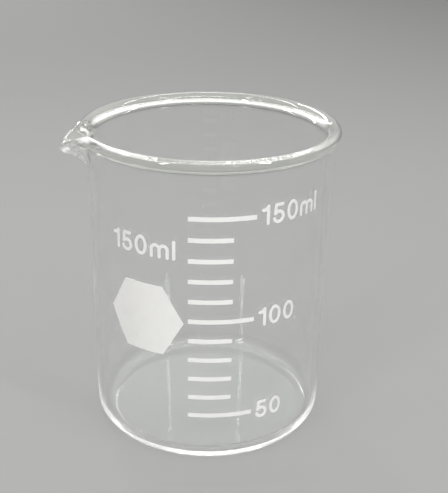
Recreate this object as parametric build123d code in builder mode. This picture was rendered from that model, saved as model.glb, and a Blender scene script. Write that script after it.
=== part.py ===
"""150 ml low-form glass beaker with a pouring spout and fired white enamel markings.

Frame: +Z is up and the origin is the centre of the base, on the surface the beaker
stands on. The scale faces -Y. A bearing is an angle about +Z measured from -Y towards +X.
All lengths are millimetres and all angles are degrees.
"""
import os
from math import cos, degrees, pi, radians, sin

from build123d import *

# ---- glass ------------------------------------------------------------------------
OUTER_DIAMETER = 58.0
HEIGHT = 76.5
WALL = 1.5
FLOOR = 2.0
HEEL_RADIUS = 4.5            # outside corner between wall and base
INNER_HEEL_RADIUS = 3.4

# ---- rolled lip -------------------------------------------------------------------
LIP_OVERHANG = 2.0           # how far the lip stands out from the wall
LIP_BEAD_RADIUS = 1.25
LIP_FLARE_DROP = 2.75        # bead centre down to where the outside starts to flare
LIP_MOUTH_DROP = 1.5         # bead centre down to where the inside starts to flare
OUTER_MEET_ANGLE = -72.0     # on the bead, where the outside flare runs into it
INNER_MEET_ANGLE = 112.6     # on the bead, where the inside flare runs into it
CURVE_HANDLE = 0.37          # handle length of a flare curve, as a share of its chord
LIP_STEP = 0.06              # the lip starts this far inside both faces of the straight wall

# ---- spout ------------------------------------------------------------------------
SPOUT_BEARING = -76.7
SPOUT_HALF_ANGLE = 32.0
SPOUT_REACH = 4.3            # how far the tip is pulled out past the round lip
SPOUT_DROOP = 3.0            # how far the tip hangs below the round lip
SPOUT_DEPTH = 9.3            # bead centre down to the spout's root
SPOUT_ROOT_WALL = 0.3        # straight wall left above the root under the tip
SPOUT_SHARPNESS = 5          # power of the cosine that shapes the tip in plan
SPOUT_STATIONS = 17          # sections lofted across the spout

# ---- enamel -----------------------------------------------------------------------
ENAMEL = 0.06                # thickness of the fired enamel
FIRST_MARK = 50              # millilitres
LAST_MARK = 150
MARK_INTERVAL = 10
NUMBERED_INTERVAL = 50
FIRST_MARK_HEIGHT = 13.8
LAST_MARK_DROP = 13.3        # below the top of the lip
MARK_THICKNESS = 1.05
MARK_START = -4.6            # distances round the wall from the scale's bearing of 0
SHORT_MARK_END = 5.4
LONG_MARK_END = 10.45

GLYPH_HEIGHT = 4.7
STROKE = 0.75
GLYPH_GAP = 0.75
NUMERAL_GAP = 1.1            # from the end of a long mark to its number
NUMERAL_RISE = 0.1           # number's middle above its mark

CAPACITY_START = -24.0       # left edge of the capacity label, round the wall
CAPACITY_DROP = 21.0         # middle of the capacity label, below the top of the lip

PATCH_SIDE = 9.9             # hexagonal write-on patch
PATCH_CENTRE = -15.45
PATCH_DROP = 17.75           # centre of the patch, below the middle of the capacity label

# ---- sizes that follow ------------------------------------------------------------
OUTER_RADIUS = OUTER_DIAMETER / 2
INNER_RADIUS = OUTER_RADIUS - WALL
BEAD_CENTRE = Vector(OUTER_RADIUS + LIP_OVERHANG - LIP_BEAD_RADIUS, HEIGHT - LIP_BEAD_RADIUS)
ROOT_HEIGHT = BEAD_CENTRE.Y - SPOUT_DEPTH
SCALE_LENGTH = HEIGHT - LAST_MARK_DROP - FIRST_MARK_HEIGHT
CAPACITY_HEIGHT = HEIGHT - CAPACITY_DROP
PATCH_HEIGHT = CAPACITY_HEIGHT - PATCH_DROP


def radial_plane(bearing):
    """Upright plane through the axis: local x is the radius, local y is the height."""
    angle = radians(bearing)
    return Plane(
        origin=(0, 0, 0),
        x_dir=(sin(angle), -cos(angle), 0),
        z_dir=(-cos(angle), -sin(angle), 0),
    )


def wall_plane(distance, height):
    """Plane that touches the wall: local x runs round the wall, local y is up."""
    angle = distance / OUTER_RADIUS
    outward = Vector(sin(angle), -cos(angle), 0)
    return Plane(
        origin=outward * OUTER_RADIUS + Vector(0, 0, height),
        x_dir=(cos(angle), sin(angle), 0),
        z_dir=outward,
    )


def polar(radius, angle):
    """Point at a radius and angle from the origin of a sketch."""
    return Vector(radius * cos(radians(angle)), radius * sin(radians(angle)))


def wall_bearing(distance):
    """Bearing of a point a distance round the wall from the front of the scale."""
    return degrees(distance / OUTER_RADIUS)


def mark_height(volume):
    """Height of the graduation for a volume."""
    return FIRST_MARK_HEIGHT + SCALE_LENGTH * (volume - FIRST_MARK) / (LAST_MARK - FIRST_MARK)


def save(piece, name):
    """Label a finished piece and write it to its own file."""
    piece.label = name
    os.makedirs("parts", exist_ok=True)
    export_step(piece, f"parts/{name}.step")


# ---- glass body -------------------------------------------------------------------
def flare(start, start_direction, end, end_direction):
    """Smooth curve that leaves start and reaches end along the given directions."""
    handle = CURVE_HANDLE * (end - start).length
    return Bezier(start, start + start_direction * handle, end - end_direction * handle, end)


def lip_outline(pull):
    """Outline of wall and rolled lip above the spout's root: pull 0 is round, 1 the tip."""
    bead = BEAD_CENTRE + Vector(SPOUT_REACH * pull, -SPOUT_DROOP * pull**1.4)
    outer_meet = bead + polar(LIP_BEAD_RADIUS, OUTER_MEET_ANGLE)
    bead_edge = bead + polar(LIP_BEAD_RADIUS, (OUTER_MEET_ANGLE + INNER_MEET_ANGLE) / 2)
    inner_meet = bead + polar(LIP_BEAD_RADIUS, INNER_MEET_ANGLE)
    stretch = pull**0.5
    deepest = SPOUT_DEPTH - SPOUT_ROOT_WALL
    outer_drop = LIP_FLARE_DROP + (deepest - LIP_FLARE_DROP) * stretch
    inner_drop = LIP_MOUTH_DROP + (deepest - LIP_MOUTH_DROP) * stretch
    outer_start = Vector(OUTER_RADIUS, BEAD_CENTRE.Y - outer_drop)
    inner_end = Vector(INNER_RADIUS, BEAD_CENTRE.Y - inner_drop)
    inner_root = (INNER_RADIUS + LIP_STEP, ROOT_HEIGHT)
    outer_root = (OUTER_RADIUS - LIP_STEP, ROOT_HEIGHT)
    with BuildLine() as outline:
        Line(inner_root, outer_root)
        Line(outer_root, outer_start)
        flare(outer_start, Vector(0, 1), outer_meet, polar(1, OUTER_MEET_ANGLE + 90))
        ThreePointArc(outer_meet, bead_edge, inner_meet)
        flare(inner_meet, polar(1, INNER_MEET_ANGLE + 90), inner_end, Vector(0, -1))
        Line(inner_end, inner_root)
    return outline.edges()


def spout_pull(station):
    """Share of the full pull at a station across the spout, from -1 to 1."""
    return (0.5 + 0.5 * cos(pi * station)) ** SPOUT_SHARPNESS


with BuildPart() as glass_body:
    # cup: base, heel and straight wall up to the root of the lip
    with BuildSketch(radial_plane(0)) as cup:
        with BuildLine():
            Polyline(
                (0, 0),
                (OUTER_RADIUS, 0),
                (OUTER_RADIUS, ROOT_HEIGHT),
                (INNER_RADIUS, ROOT_HEIGHT),
                (INNER_RADIUS, FLOOR),
                (0, FLOOR),
                close=True,
            )
        make_face()
        below, floor_level = cup.vertices().group_by(Axis.Y)[:2]
        fillet(below.sort_by(Axis.X)[-1], HEEL_RADIUS)
        fillet(floor_level.sort_by(Axis.X)[-1], INNER_HEEL_RADIUS)
    revolve(axis=Axis.Z)
    # round lip, all the way round but for the spout
    spout_end = SPOUT_BEARING + SPOUT_HALF_ANGLE
    with BuildSketch(radial_plane(spout_end)):
        make_face(lip_outline(0))
    revolve(axis=Axis.Z, revolution_arc=360 - 2 * SPOUT_HALF_ANGLE)
    # spout: the same section pulled out and down, station by station
    for index in range(SPOUT_STATIONS):
        station = 2 * index / (SPOUT_STATIONS - 1) - 1
        with BuildSketch(radial_plane(SPOUT_BEARING + station * SPOUT_HALF_ANGLE)):
            make_face(lip_outline(spout_pull(station)))
    loft()

save(glass_body.part, "glass_body")


# ---- graduations ------------------------------------------------------------------
for volume in range(FIRST_MARK, LAST_MARK + 1, MARK_INTERVAL):
    numbered = volume % NUMBERED_INTERVAL == 0
    mark_end = LONG_MARK_END if numbered else SHORT_MARK_END
    with BuildPart() as graduation:
        with BuildSketch(radial_plane(wall_bearing(MARK_START))):
            with Locations((OUTER_RADIUS + ENAMEL / 2, mark_height(volume))):
                Rectangle(ENAMEL, MARK_THICKNESS)
        revolve(axis=Axis.Z, revolution_arc=wall_bearing(mark_end - MARK_START))
    save(graduation.part, f"graduation_{volume:03d}")


# ---- glyphs: every one is a pen stroke or two, drawn from its lower left corner ----
def draw_one(width, height):
    """Upright with a short flag."""
    flag_height = height * 0.765
    stem = width - STROKE / 2
    with BuildLine() as path:
        Polyline(
            (STROKE / 2, flag_height),
            (stem - STROKE * 0.8, flag_height),
            (stem, height - STROKE / 2),
            (stem, STROKE / 2),
        )
    SlotArc(path.wire(), STROKE)


def draw_five(width, height):
    """Top bar, leaning upright and a round bowl that is open to the left."""
    bowl_radius = (width - STROKE) / 2
    bowl_centre = Vector(width / 2, STROKE / 2 + bowl_radius)
    bowl_start = 140
    with BuildLine() as path:
        Polyline(
            (width - STROKE * 0.8, height - STROKE / 2),
            (STROKE * 1.1, height - STROKE / 2),
            bowl_centre + polar(bowl_radius, bowl_start),
        )
        CenterArc(bowl_centre, bowl_radius, bowl_start, -300)
    SlotArc(path.wire(), STROKE)


def draw_zero(width, height):
    """Oval ring."""
    with Locations((width / 2, height / 2)):
        Ellipse(width / 2, height / 2)
        Ellipse(width / 2 - STROKE, height / 2 - STROKE, mode=Mode.SUBTRACT)


def draw_m(width, height):
    """Stem with two arches that end in stems."""
    arch_radius = (width - STROKE) / 4
    arch_centre = height * 0.73 - STROKE / 2 - arch_radius
    for left in (STROKE / 2, STROKE / 2 + 2 * arch_radius):
        with BuildLine() as path:
            Line((left, STROKE / 2), (left, arch_centre))
            CenterArc((left + arch_radius, arch_centre), arch_radius, 180, -180)
            Line((left + 2 * arch_radius, arch_centre), (left + 2 * arch_radius, STROKE / 2))
        SlotArc(path.wire(), STROKE)


def draw_l(width, height):
    """Plain upright."""
    with Locations((width / 2, height / 2)):
        SlotOverall(height, STROKE, rotation=90)


GLYPHS = {
    "1": (draw_one, 2.0),
    "5": (draw_five, 3.1),
    "0": (draw_zero, 3.2),
    "m": (draw_m, 4.6),
    "l": (draw_l, STROKE),
}


def glyph_face(character, plane):
    """One glyph, centred on a plane."""
    draw, width = GLYPHS[character]
    with BuildSketch(plane) as glyph:
        with Locations((-width / 2, -GLYPH_HEIGHT / 2)):
            draw(width, GLYPH_HEIGHT)
    return glyph.sketch


def write_line(text, left, height):
    """Cut a line of glyphs through the wall, from a left edge and a middle height."""
    for character in text:
        width = GLYPHS[character][1]
        face = glyph_face(character, wall_plane(left + width / 2, height))
        extrude(face, amount=WALL, both=True)
        left += width + GLYPH_GAP


def keep_skin():
    """Trim the part being built to the layer of enamel on the straight wall."""
    with BuildSketch() as ring:
        Circle(OUTER_RADIUS + ENAMEL)
        Circle(OUTER_RADIUS, mode=Mode.SUBTRACT)
    extrude(ring.sketch, amount=ROOT_HEIGHT, mode=Mode.INTERSECT)


# ---- lettering --------------------------------------------------------------------
for volume, text in ((50, "50"), (100, "100"), (150, "150ml")):
    with BuildPart() as numeral:
        write_line(text, LONG_MARK_END + NUMERAL_GAP, mark_height(volume) + NUMERAL_RISE)
        keep_skin()
    save(numeral.part, f"numeral_{volume:03d}")

with BuildPart() as capacity_label:
    write_line("150ml", CAPACITY_START, CAPACITY_HEIGHT)
    keep_skin()
save(capacity_label.part, "capacity_label")


# ---- write-on patch ---------------------------------------------------------------
with BuildPart() as marking_patch:
    corners = [polar(PATCH_SIDE, 60 * corner) for corner in range(6)]
    with BuildSketch(wall_plane(PATCH_CENTRE, PATCH_HEIGHT)):
        Polygon(*[(OUTER_RADIUS * sin(p.X / OUTER_RADIUS), p.Y) for p in corners])
    extrude(amount=PATCH_SIDE / 2, both=True)
    keep_skin()
save(marking_patch.part, "marking_patch")
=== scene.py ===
# %% [markdown]
# # A low-form glass beaker
#
# This lesson dresses a laboratory beaker: a cup blown from clear borosilicate glass, with a rolled lip,
# a pouring spout and a white scale fired onto its wall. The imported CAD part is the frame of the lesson.
# Its size and the place of each piece are fixed, and what is added here is the finish that the eye sees.

import math

import bpy
import numpy as np
from mathutils import Matrix, Vector


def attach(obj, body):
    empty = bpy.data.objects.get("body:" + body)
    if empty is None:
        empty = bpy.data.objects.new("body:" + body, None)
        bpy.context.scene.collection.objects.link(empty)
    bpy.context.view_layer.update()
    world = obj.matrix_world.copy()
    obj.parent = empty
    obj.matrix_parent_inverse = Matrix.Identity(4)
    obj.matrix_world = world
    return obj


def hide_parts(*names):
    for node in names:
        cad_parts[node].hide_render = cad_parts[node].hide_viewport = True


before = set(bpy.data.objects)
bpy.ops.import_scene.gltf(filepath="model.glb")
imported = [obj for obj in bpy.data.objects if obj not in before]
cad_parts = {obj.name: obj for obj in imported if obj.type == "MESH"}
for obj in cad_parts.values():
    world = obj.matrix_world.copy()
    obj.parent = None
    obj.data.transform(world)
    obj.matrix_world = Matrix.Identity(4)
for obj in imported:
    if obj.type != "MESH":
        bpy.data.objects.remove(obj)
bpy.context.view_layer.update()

# %% [markdown]
# ## The sizes of the glass
#
# Glass blowers draw a beaker as one half section: the base, the rounded heel, the straight wall and the
# lip. These are the sizes of that section. Each is in millimetres, as on a workshop drawing, and the
# finished points are scaled to metres once, at the end.

# %% The sizes, in millimetres
MM = 0.001
OUTER_RADIUS = 29.0     # of the straight wall
INNER_RADIUS = 27.5
HEIGHT = 76.5           # from the bench to the top of the lip
FLOOR = 2.0             # thickness of the base
HEEL = 4.5              # radius of the corner under the wall
INNER_HEEL = 3.4        # the same corner inside
BEAD = 1.25             # radius of the rolled edge of the lip
LIP_OVERHANG = 2.0      # how far the bead stands out past the wall
LIP_DROPS = (2.75, 1.5) # how far under the bead's centre the lip leaves the outer and the inner wall
LIP_MEETS = (-72.0, 112.6)  # where on the bead, in degrees, the outer and the inner wall run into it
SPOUT_BEARING = -76.7   # degrees round from the scale, towards the left
SPOUT_HALF_ANGLE = 32.0
SPOUT_REACH = 4.3
SPOUT_DROOP = 3.0
SPOUT_SHARPNESS = 5     # the power that narrows the pull towards the middle of the spout
DROOP_LAG = 1.4         # the power by which the droop comes later than the reach
SPOUT_ROOT = 9.0        # how far under the bead's centre the spout leaves the wall
FUSED = 0.01            # the glass rises this far round the fired enamel, which bonds the two

print("outside diameter", 2 * OUTER_RADIUS, "height", HEIGHT)

# %% [markdown]
# ## The camera
#
# The beaker is looked at from the front and a little above, from a quarter of a metre away with a
# portrait lens. A camera looks along its own -Z axis with +Y as its top, so its place in the world is
# a matrix whose columns are right, up and backwards. It is tipped by about one degree, as by a hand.

# %% Place the camera
EYE = np.array([0.0, -0.20446, 0.13366])
YAW, PITCH, ROLL = 0.0183, 0.4116, 0.0166
FOCAL_LENGTH = 65.05    # millimetres, on a sensor whose long side is 36

ahead = np.array([math.sin(YAW) * math.cos(PITCH), math.cos(YAW) * math.cos(PITCH), -math.sin(PITCH)])
right = np.array([math.cos(YAW), -math.sin(YAW), 0.0])
up = np.cross(right, ahead)
right, up = math.cos(ROLL) * right + math.sin(ROLL) * up, math.cos(ROLL) * up - math.sin(ROLL) * right

camera = bpy.data.objects.new("camera", bpy.data.cameras.new("camera"))
bpy.context.scene.collection.objects.link(camera)
camera.data.lens = FOCAL_LENGTH
camera.data.clip_start = 0.01
camera.matrix_world = Matrix([[right[i], up[i], -ahead[i], EYE[i]] for i in range(3)] + [[0, 0, 0, 1]])
bpy.context.scene.camera = camera
print("the camera looks down by", round(math.degrees(PITCH), 1), "degrees")

# %% [markdown]
# ## The shape of the vessel
#
# A beaker could be turned with the Screw modifier, but its lip isn't round: at the spout the soft glass
# was pulled outwards and down. So the whole vessel is one surface on a grid. One parameter runs round
# the axis, and the other along the half section, from the middle of the base up the outside, over the
# lip and down the inside. At each bearing the section is worked out anew, with its bead pulled along.

# %% The pull of the spout
def spout_pull(bearing):
    """How far the lip is pulled at a bearing: a raised cosine over the spout's width, to a power."""
    station = np.clip((bearing - SPOUT_BEARING) / SPOUT_HALF_ANGLE, -1.0, 1.0)
    return (0.5 + 0.5 * np.cos(math.pi * station)) ** SPOUT_SHARPNESS


def beside(radius, height):
    """Joins radii and heights, each one number or an array, into an array of section points."""
    return np.stack(np.broadcast_arrays(radius, height), -1)


def on_circle(centre, radius, degrees):
    """The point at an angle on a circle: centre + radius * (cosine, sine)."""
    turn = np.radians(degrees)
    return centre + radius * np.stack([np.cos(turn), np.sin(turn)], -1)


BEARINGS = 480          # how many sections stand round the axis

bearings = np.linspace(-180.0, 180.0, BEARINGS, endpoint=False)
pull = spout_pull(bearings)
bead_centre = beside(
    OUTER_RADIUS + LIP_OVERHANG - BEAD + SPOUT_REACH * pull,
    HEIGHT - BEAD - SPOUT_DROOP * pull ** DROOP_LAG,
)
print("the spout reaches", round(float(bead_centre[:, 0].max() - bead_centre[:, 0].min()), 2), "mm further")

# %% [markdown]
# The lip leaves the wall on a cubic Bezier curve: a blend of four points, two ends and two handles, that
# starts along the wall and ends along the bead's edge. Both ends keep their direction, so light slides
# over the joint without a crease. The same curve serves outside and inside.

# %% The lip's curves
HANDLE = 0.37           # a handle's length, as a share of the chord
FLARE_ROWS = 20         # rows of the grid in each flare, and then in the bead with its two ends
BEAD_ROWS = 30


def flare(start, start_turn, end, end_turn, steps):
    """A cubic Bezier per bearing: (1-t)^3 A + 3t(1-t)^2 B + 3t^2(1-t) C + t^3 D, from start to end.

    Each handle lies along its end's turn, in degrees, and is a share of the chord long.
    """
    reach = HANDLE * np.linalg.norm(end - start, axis=-1)[:, None]
    first = start + reach * on_circle(0.0, 1.0, start_turn)
    last = end - reach * on_circle(0.0, 1.0, end_turn)
    t = np.linspace(0.0, 1.0, steps)[:, None, None]
    return (1 - t) ** 3 * start + 3 * t * (1 - t) ** 2 * first + 3 * t ** 2 * (1 - t) * last + t ** 3 * end


stretch = np.sqrt(pull)
drops = [drop + (SPOUT_ROOT - drop) * stretch for drop in LIP_DROPS]
leaves = [beside(r, HEIGHT - BEAD - drop) for r, drop in zip((OUTER_RADIUS, INNER_RADIUS), drops)]
meets = [on_circle(bead_centre, BEAD, turn) for turn in LIP_MEETS]

outer_flare = flare(leaves[0], 90.0, meets[0], LIP_MEETS[0] + 90.0, FLARE_ROWS)
bead_arc = on_circle(bead_centre, BEAD, np.linspace(*LIP_MEETS, BEAD_ROWS)[1:-1, None])
inner_flare = flare(meets[1], LIP_MEETS[1] + 90.0, leaves[1], 270.0, FLARE_ROWS)
print("lip rows:", len(outer_flare), len(bead_arc), len(inner_flare))

# %% [markdown]
# Below the lip the section is round the axis: a wall, a rounded heel and a base. A blown base is never
# a flat plate. It is pushed up a little in the middle, so that the beaker stands on a ring and doesn't
# rock, and the glass over it swells gently. That is what bends the light in the base.

# %% The wall, the heel and the base
PUSH_UP = 0.28          # how far the middle of the base stands off the bench
PUSH_UP_EDGE = 0.93     # where the push-up starts, as a share of the foot's radius
SWELL = 0.22            # how far the floor inside rises at its middle
BASE_ROWS = 16          # rows of the grid in the base, the two heels and the wall
HEEL_ROWS = 16
INNER_HEEL_ROWS = 14
WALL_ROWS = 26


def all_round(points):
    """Repeats section points at every bearing."""
    return np.repeat(np.asarray(points, float)[:, None, :], len(bearings), axis=1)


def between(low, high, steps):
    """Rows from low to high: low + t (high - low), without the two ends."""
    t = np.linspace(0.0, 1.0, steps + 2)[1:-1, None, None]
    return low + t * (high - low)


def dome(radius, foot):
    """A shallow dome of height one: (1 - (r / foot)^2)^2, which meets the flat without a crease."""
    return np.clip(1 - (radius / foot) ** 2, 0, 1) ** 2


foot = OUTER_RADIUS - HEEL
inner_foot = INNER_RADIUS - INNER_HEEL
base_radii = np.linspace(0.0, foot, BASE_ROWS)[1:-1]
floor_radii = np.linspace(inner_foot, 0.0, BASE_ROWS)[1:-1]
underside = all_round(beside(base_radii, PUSH_UP * dome(base_radii, PUSH_UP_EDGE * foot)))
heel = all_round(on_circle(np.array([foot, HEEL]), HEEL, np.linspace(-90, 0, HEEL_ROWS)))
inner_heel = all_round(
    on_circle(np.array([inner_foot, FLOOR + INNER_HEEL]), INNER_HEEL, np.linspace(0, -90, INNER_HEEL_ROWS))
)
floor_top = all_round(beside(floor_radii, FLOOR + SWELL * dome(floor_radii, inner_foot)))
outer_wall = between(heel[-1], outer_flare[0], WALL_ROWS)
inner_wall = between(inner_flare[-1], inner_heel[0], WALL_ROWS)

section = np.concatenate(
    [underside, heel, outer_wall, outer_flare, bead_arc, inner_flare, inner_wall, inner_heel, floor_top]
)
print("the section has", len(section), "rows at", len(bearings), "bearings")

# %% [markdown]
# Blown walls aren't perfectly even. Inside, where no mould touched the glass, its surface wanders by a
# few hundredths of a millimetre. That is too little to see as a shape, but it makes the lights behind
# the wall wobble, and a beaker without it looks like plastic. The outside stays true for its holder.

# %% The wandering inner surface
WANDER = 0.018          # millimetres, for a wave of strength one
WAVES = (               # strength, waves round the axis, turn per millimetre of height, start
    (1.0, 3, 0.11, 0.0),
    (0.7, 5, -0.17, 1.3),
    (0.5, 11, 0.05, 2.1),
)

around = np.radians(bearings)
inside_rows = np.arange(len(section)) >= len(section) - len(inner_wall) - len(inner_heel) - len(floor_top)
height = section[..., 1]
wave = sum(
    strength * np.sin(count * around + lean * height + start) for strength, count, lean, start in WAVES
)
fade = np.sin(math.pi * np.clip((height - FLOOR) / (HEIGHT - SPOUT_ROOT - FLOOR), 0, 1))
section[..., 0] += WANDER * wave * fade * inside_rows[:, None]
on_outer_wall = (np.abs(section[..., 0] - OUTER_RADIUS) < 1e-9) & ~inside_rows[:, None]
section[..., 0] += FUSED * on_outer_wall
print("the inner wall wanders by up to", round(float(np.abs(WANDER * wave * fade).max()), 3), "mm")

# %% [markdown]
# Now the grid becomes a mesh. Each section point turns round the axis, neighbours are joined by
# four-sided faces, and the two ends of the section close in a fan round one point on the axis each.
# The signed volume, a sum over the faces, is positive only if they all look outwards.

# %% Build the vessel
rows, columns = section.shape[:2]
ring = np.stack([section[..., 0] * np.sin(around), -section[..., 0] * np.cos(around), section[..., 1]], -1)
poles = np.array([[0.0, 0.0, PUSH_UP], [0.0, 0.0, FLOOR + SWELL]])
points = np.concatenate([ring.reshape(-1, 3), poles]) * MM

number = np.arange(rows * columns).reshape(rows, columns)
beyond = np.roll(number, -1, axis=1)
quads = np.stack([number[:-1], beyond[:-1], beyond[1:], number[1:]], -1).reshape(-1, 4)
bottom_fan = np.stack([np.full(columns, rows * columns), beyond[0], number[0]], -1)
top_fan = np.stack([np.full(columns, rows * columns + 1), number[-1], beyond[-1]], -1)

mesh = bpy.data.meshes.new("vessel")
mesh.from_pydata(points.tolist(), [], quads.tolist() + bottom_fan.tolist() + top_fan.tolist())
mesh.polygons.foreach_set("use_smooth", np.ones(len(mesh.polygons), bool))
vessel = bpy.data.objects.new("vessel", mesh)
bpy.context.scene.collection.objects.link(vessel)

triangles = np.concatenate([quads[:, [0, 1, 2]], quads[:, [0, 2, 3]], bottom_fan, top_fan])
a, b, c = (points[triangles[:, i]] for i in range(3))
volume = np.einsum("ij,ij->i", a, np.cross(b, c)).sum() / 6
print("the glass has", round(volume * 1e9), "cubic mm in", len(triangles), "triangles")

# %% [markdown]
# ## A small language for finishes
#
# A finish is a graph of nodes. Drawn by hand it is slow to read, so here a socket is wrapped in a small
# class on which + and * add Math nodes, and one method adds any other node from its type, its
# settings and what goes into its sockets.

# %% The helper for nodes
class Wire:
    """A socket that carries a number. Arithmetic on it adds Math nodes to its material."""

    def __init__(self, finish, socket):
        self.finish, self.socket = finish, socket

    def _math(self, operation, *values):
        node = self.finish.add("ShaderNodeMath", {"operation": operation}, dict(enumerate(values)))
        return Wire(self.finish, node.outputs[0])

    def __add__(self, other):
        return self._math("ADD", self, other)

    def __radd__(self, other):
        return self._math("ADD", other, self)

    def __mul__(self, other):
        return self._math("MULTIPLY", self, other)

    def __rmul__(self, other):
        return self._math("MULTIPLY", other, self)


class Finish:
    """The nodes of a new material or world, and the one method that adds a node to them."""

    def __init__(self, owner):
        self.owner = owner
        self.owner.use_nodes = True
        self.tree = self.owner.node_tree
        self.tree.nodes.clear()

    def add(self, kind, settings=None, sockets=None):
        """Adds a node: its settings first, then a value or a wire for each socket, by name or number."""
        node = self.tree.nodes.new(kind)
        for name, value in (settings or {}).items():
            if name == "stops":
                self.set_stops(node.color_ramp, value)
            else:
                setattr(node, name, value)
        for name, value in (sockets or {}).items():
            socket = node.inputs[name] if isinstance(name, int) else self.find(node.inputs, name)
            if isinstance(value, Wire):
                self.tree.links.new(value.socket, socket)
            else:
                socket.default_value = value
        return node

    def wire(self, kind, settings=None, sockets=None, output=0):
        """Adds a node and returns one of its outputs as a wire."""
        node = self.add(kind, settings, sockets)
        socket = node.outputs[output] if isinstance(output, int) else self.find(node.outputs, output)
        return Wire(self, socket)

    @staticmethod
    def find(sockets, name):
        """The socket of that name that the node's settings leave in use."""
        return next(s for s in sockets if s.name == name and s.enabled)

    @staticmethod
    def set_stops(ramp, stops):
        """Gives a ramp its stops, each a place and a grey level."""
        while len(ramp.elements) < len(stops):
            ramp.elements.new(0.5)
        for element, (place, grey) in zip(ramp.elements, stops):
            element.position = place
            element.color = (grey, grey, grey, 1.0)

    def noise(self, where, scale, detail=2.0):
        """Cloudy noise from 0 to 1. Scale counts its blobs per metre."""
        return self.wire(
            "ShaderNodeTexNoise", None, {"Vector": where, "Scale": scale, "Detail": detail}, "Fac"
        )

    def ramp(self, value, stops):
        """Bends a value through stops of place and grey."""
        return self.wire("ShaderNodeValToRGB", {"stops": stops}, {"Fac": value})

    def blend(self, share, first, second):
        """Mixes two colours by a share."""
        sockets = {"Factor": share, "A": first, "B": second}
        return self.wire("ShaderNodeMix", {"data_type": "RGBA"}, sockets, "Result")


print("a wire knows:", [name for name in dir(Wire) if name.endswith(("add__", "mul__"))])

# %% [markdown]
# ## Clear borosilicate glass
#
# Clean glass is almost nothing but its reflections, so a finish for it is about small faults. It has a
# breath of green where the glass is thick, at the bead. It has a faint film from handling and rinsing,
# rougher in soft clouds and in thin runs down the wall where water dried. And its skin undulates.
# Lamps shine through glass, but a path tracer would let it throw a black shadow. So rays that travel
# to a lamp meet a nearly clear sheet in its place, and so do rays that a matt surface scatters. With
# only the first of the two, the table under the glass would be lit twice over.

# %% The glass finish
CLEAR = (0.991, 0.995, 0.991, 1.0)
THICK = (0.955, 0.965, 0.915, 1.0)
LIP_FADE = (0.0715, 0.0752) # metres, the heights between which the tint of the lip comes in
CLOUD_FILM, RUN_FILM, SPECK_FILM = 0.035, 0.05, 0.12  # how much roughness each kind of film adds
POLISH = 0.002          # the roughness of clean glass
SKIN_DEPTH = 0.00008    # metres, how deep its skin undulates

glass = Finish(bpy.data.materials.new("borosilicate_glass"))
here = glass.wire("ShaderNodeTexCoord", output="Object")
separate = glass.add("ShaderNodeSeparateXYZ", None, {"Vector": here})
level = Wire(glass, separate.outputs["Z"])
lip = glass.wire(
    "ShaderNodeMapRange",
    {"interpolation_type": "SMOOTHSTEP"},
    {"Value": level, "From Min": LIP_FADE[0], "From Max": LIP_FADE[1]},
    "Result",
)
tall = glass.wire(
    "ShaderNodeMapping", None, {"Vector": here, "Scale": (1.0, 1.0, 0.06)}, "Vector"
)
clouds = glass.ramp(glass.noise(here, 70.0, 3.0), [(0.45, 0.0), (0.75, 1.0)])
runs = glass.ramp(glass.noise(tall, 420.0, 2.0), [(0.60, 0.0), (0.78, 1.0)])
specks = glass.ramp(glass.noise(here, 2600.0, 1.0), [(0.66, 0.0), (0.80, 1.0)])
film = clouds * CLOUD_FILM + runs * RUN_FILM + specks * clouds * SPECK_FILM
skin = glass.noise(here, 55.0, 1.0) + glass.noise(here, 260.0, 1.0) * 0.08
normal = glass.wire(
    "ShaderNodeBump", None, {"Strength": 0.35, "Distance": SKIN_DEPTH, "Height": skin}, "Normal"
)
body = glass.wire(
    "ShaderNodeBsdfPrincipled",
    None,
    {
        "Base Color": glass.blend(lip, CLEAR, THICK),
        "Roughness": film + POLISH,
        "IOR": 1.474,
        "Transmission Weight": 1.0,
        "Normal": normal,
    },
    "BSDF",
)
sheet = glass.wire("ShaderNodeBsdfTransparent", None, {"Color": (0.95, 0.953, 0.95, 1.0)}, "BSDF")
seen = body
for kind_of_ray in ("Is Shadow Ray", "Is Diffuse Ray"):
    is_kind = glass.wire("ShaderNodeLightPath", output=kind_of_ray)
    seen = glass.wire("ShaderNodeMixShader", None, {0: is_kind, 1: seen, 2: sheet})
glass.add("ShaderNodeOutputMaterial", None, {"Surface": seen})

vessel.data.materials.append(glass.owner)
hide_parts("glass_body")
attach(vessel, "root")
print("glass nodes:", len(glass.tree.nodes))

# %% [markdown]
# ## Fired white enamel
#
# The scale is a paste of ground glass and white pigment, printed through a screen and fired until it
# melts onto the wall. It ends as a dense, slightly warm white with a satin skin. The screen leaves a fine
# orange-peel grain, and the pigment sits a little thinner in places. The CAD nodes already have the
# printed shapes, so they only get this finish.

# %% The enamel finish
BRIGHT = (0.90, 0.895, 0.875, 1.0)
THIN = (0.80, 0.80, 0.785, 1.0)
SATIN = 0.34            # the roughness of dense enamel
PEEL_DEPTH = 0.00004    # metres, how deep its orange-peel grain is

enamel = Finish(bpy.data.materials.new("fired_white_enamel"))
spot = enamel.wire("ShaderNodeTexCoord", output="Object")
patches = enamel.ramp(enamel.noise(spot, 330.0, 3.0), [(0.48, 0.0), (0.78, 1.0)])
grain = enamel.noise(spot, 5200.0, 1.0)
pits = enamel.ramp(grain, [(0.60, 0.0), (0.74, 1.0)])
worn = patches * 0.45 + pits * 0.35
relief = enamel.noise(spot, 2100.0, 2.0) + grain * 0.5
enamel_normal = enamel.wire(
    "ShaderNodeBump", None, {"Strength": 0.3, "Distance": PEEL_DEPTH, "Height": relief}, "Normal"
)
coat = enamel.wire(
    "ShaderNodeBsdfPrincipled",
    None,
    {
        "Base Color": enamel.blend(worn, BRIGHT, THIN),
        "Roughness": patches * 0.15 + SATIN,
        "IOR": 1.52,
        "Normal": enamel_normal,
    },
    "BSDF",
)
enamel.add("ShaderNodeOutputMaterial", None, {"Surface": coat})

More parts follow.
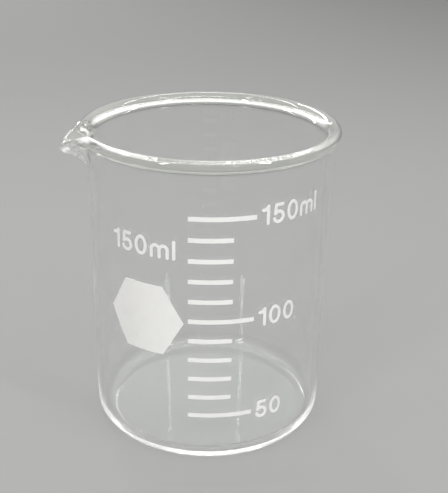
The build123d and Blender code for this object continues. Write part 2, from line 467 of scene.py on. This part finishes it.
printed = [node for name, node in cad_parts.items() if name != "glass_body"]
for node in printed:
    node.data.materials.clear()
    node.data.materials.append(enamel.owner)
print("enamel on", len(printed), "printed nodes")

# %% [markdown]
# ## The table and the light
#
# Glass shows what is round it, so the room matters more than on any other object. The table is pale
# and plain. Glass mirrors only a twentieth of what it faces, so a highlight needs a lamp that is
# narrow and bright. Two long tubes overhead draw the lines along the bead. Three tall lamps, at the
# sides and behind, light both faces of the print and draw upright bands on the wall. They hang well
# above the table, because a low lamp leaves a pool of light beneath it that shows from other sides.

# %% The table
TABLE_TONE = (0.30, 0.30, 0.298, 1.0)
TABLE_HALF = 12.0       # metres, so that its edge is lost in the distance
TABLE_GAP = 0.0001      # the film of air that keeps the glass from sharing a surface with the table

table_mesh = bpy.data.meshes.new("table")
corners = [(x * TABLE_HALF, y * TABLE_HALF, -TABLE_GAP) for x, y in ((-1, -1), (1, -1), (1, 1), (-1, 1))]
table_mesh.from_pydata(corners, [], [(0, 1, 2, 3)])
table = bpy.data.objects.new("table", table_mesh)
bpy.context.scene.collection.objects.link(table)
top = Finish(bpy.data.materials.new("table_top"))
surface = top.wire(
    "ShaderNodeBsdfPrincipled",
    None,
    {"Base Color": TABLE_TONE, "Roughness": 0.9, "Specular IOR Level": 0.1},
    "BSDF",
)
top.add("ShaderNodeOutputMaterial", None, {"Surface": surface})
table_mesh.materials.append(top.owner)
print("the table is", 2 * TABLE_HALF, "m wide")


# %% The lamps and the room
def soft_lamp(name, place, aim, width, height, power):
    """A rectangular lamp at a place, turned so that its face looks at the aim."""
    light = bpy.data.lights.new(name, "AREA")
    light.shape = "RECTANGLE"
    light.size, light.size_y, light.energy = width, height, power
    lamp = bpy.data.objects.new(name, light)
    bpy.context.scene.collection.objects.link(lamp)
    lamp.location = place
    lamp.rotation_euler = (Vector(aim) - Vector(place)).to_track_quat("-Z", "Y").to_euler()
    lamp.visible_camera = False
    return lamp


MIDDLE = (0.0, 0.0, 0.04)
soft_lamp("rear_tube", (0.0, 0.20, 0.42), MIDDLE, 0.70, 0.016, 0.85)
soft_lamp("front_tube", (0.0, -0.16, 0.46), MIDDLE, 0.70, 0.016, 1.0)
soft_lamp("left_window", (-0.60, -0.72, 0.58), MIDDLE, 0.07, 0.60, 4.6)
soft_lamp("right_window", (0.72, -0.62, 0.52), MIDDLE, 0.06, 0.60, 4.6)
soft_lamp("rear_window", (-0.32, 0.85, 0.62), MIDDLE, 0.06, 0.50, 4.0)

# %% [markdown]
# The room is a dome, dim at the level of the table and bright overhead, as under a white ceiling. It
# gives the table only part of its light, so that the far side of the table falls into shade. A ray
# can be glossy and transmitted at once, so the greatest of the three marks is taken, not their sum. The
# lip bends what it shows of the ceiling down to the eye, and that is why a glass rim looks bright.
# Light that enters the lip also runs down inside the wall, mirrored from skin to skin some fifty times
# before it leaves at the heel. So paths may bounce far more often than usual, or the lip goes black.

# %% The room
WALLS = (0.30, 0.30, 0.305, 1.0)
CEILING = (1.45, 1.45, 1.43, 1.0)
DIMMED = 0.30           # how strongly the dome lights a matt surface, beside how bright it is to look at

room = Finish(bpy.data.worlds.new("room"))
direction = room.wire("ShaderNodeTexCoord", output="Generated")
upwards = Wire(room, room.add("ShaderNodeSeparateXYZ", None, {"Vector": direction}).outputs["Z"])
share = room.wire(
    "ShaderNodeMapRange",
    {"interpolation_type": "SMOOTHSTEP"},
    {"Value": upwards, "From Min": 0.04, "From Max": 0.65},
    "Result",
)
rays = room.add("ShaderNodeLightPath")
looked_at = Wire(room, rays.outputs["Is Camera Ray"])
for kind in ("Is Glossy Ray", "Is Transmission Ray"):
    either = {0: looked_at, 1: Wire(room, rays.outputs[kind])}
    looked_at = room.wire("ShaderNodeMath", {"operation": "MAXIMUM"}, either)
glow = room.wire(
    "ShaderNodeBackground",
    None,
    {"Color": room.blend(share, WALLS, CEILING), "Strength": looked_at * (1 - DIMMED) + DIMMED},
    "Background",
)
room.add("ShaderNodeOutputWorld", None, {"Surface": glow})

scene = bpy.context.scene
scene.world = room.owner
scene.view_settings.view_transform = "Standard"
BOUNCES = 96
scene.cycles.max_bounces = BOUNCES
scene.cycles.glossy_bounces = BOUNCES
scene.cycles.transmission_bounces = BOUNCES
print("paths may bounce", scene.cycles.max_bounces, "times")
